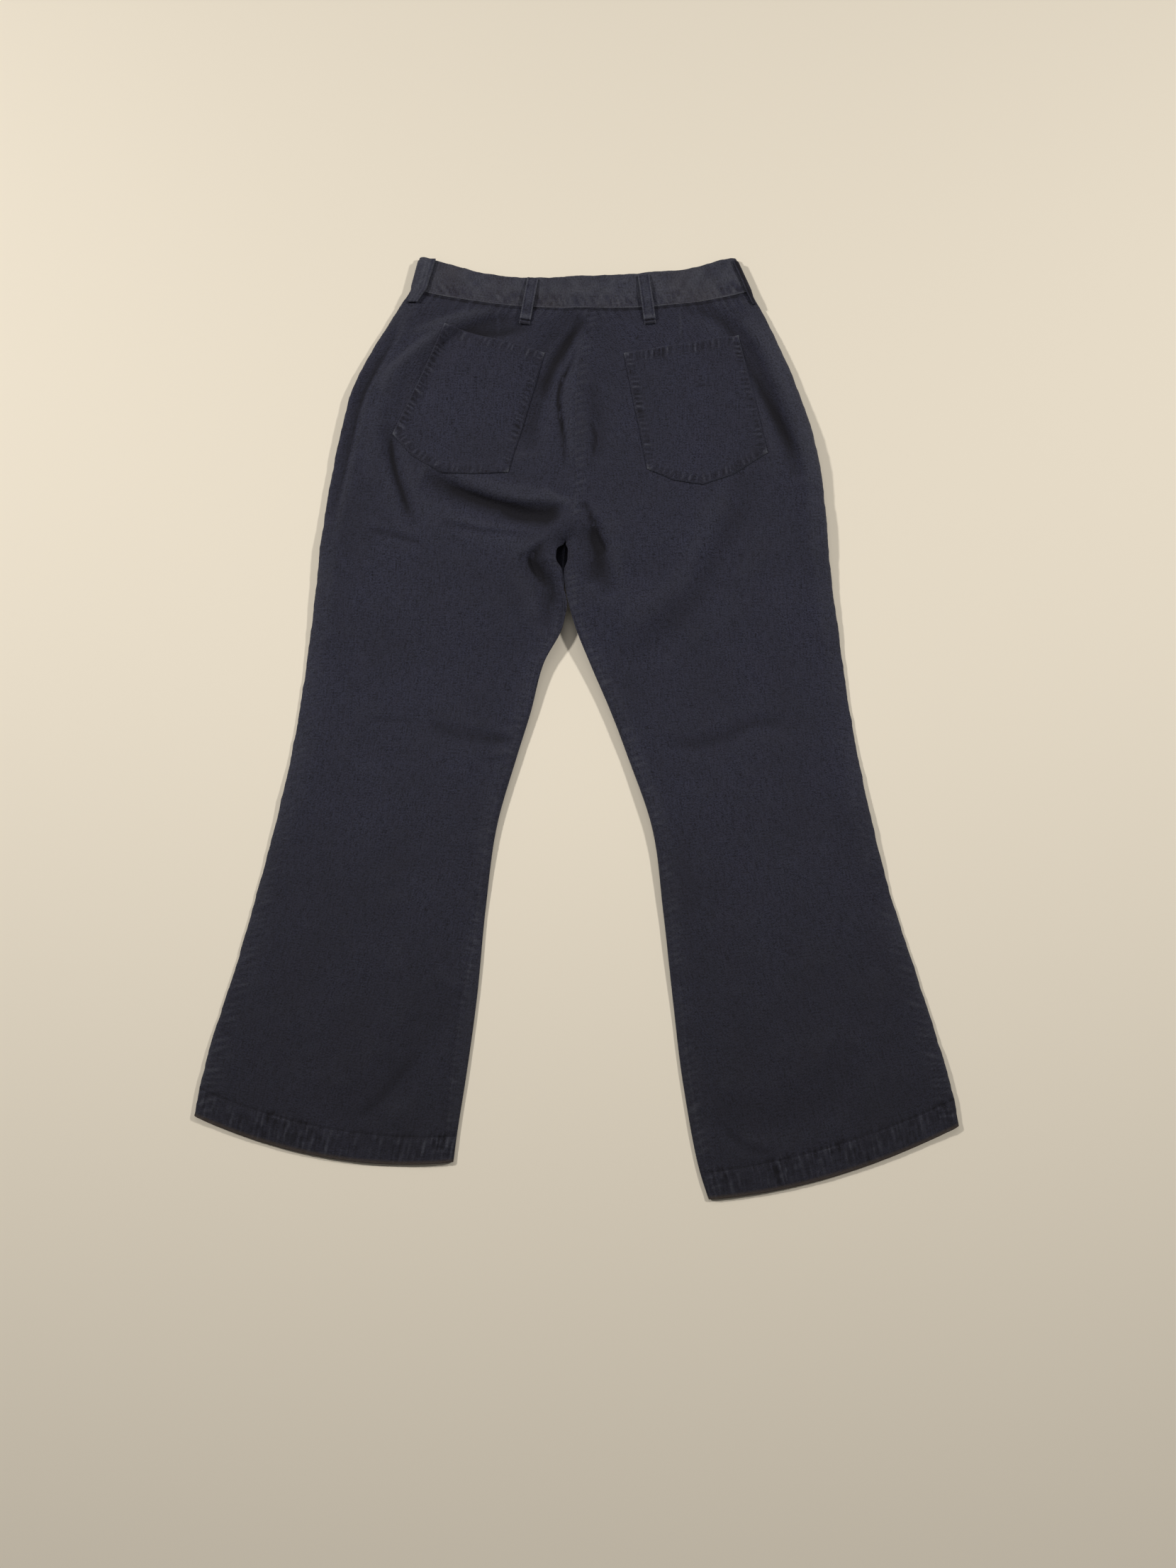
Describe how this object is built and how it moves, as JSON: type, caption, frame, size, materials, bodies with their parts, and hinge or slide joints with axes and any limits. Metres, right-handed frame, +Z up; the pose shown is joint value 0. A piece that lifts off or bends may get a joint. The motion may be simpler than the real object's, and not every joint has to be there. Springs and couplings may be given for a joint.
{
  "type": "sailor jeans",
  "caption": "High-waisted flared denim jeans lying flat with the back up, with patch pockets, belt loops, back darts and deep stitched hems.",
  "frame": {"origin": "middle of the garment's bounding box on the surface that it lies on", "axes": "+X to the right as the garment lies with its back up, +Y from the hems to the waist, +Z up out of the surface"},
  "size_m": [0.86, 1.094, 0.0204],
  "materials": {
    "denim": "faded dark navy cotton twill, soft and matt, paler along its seams and puckers",
    "thread": "matt cotton sewing thread, faded",
    "button_metal": "dull metal shank button"
  },
  "bodies": {
    "root": {"back_left": "denim", "back_right": "denim", "front_left": "denim", "front_right": "denim", "waistband": "denim", "pocket_left": "denim", "pocket_right": "denim", "belt_loop_back_left": "denim", "belt_loop_back_right": "denim", "belt_loop_side_left": "denim", "belt_loop_side_right": "denim", "fly_facing": "denim", "waist_button": "button_metal"}
  },
  "joints": []
}
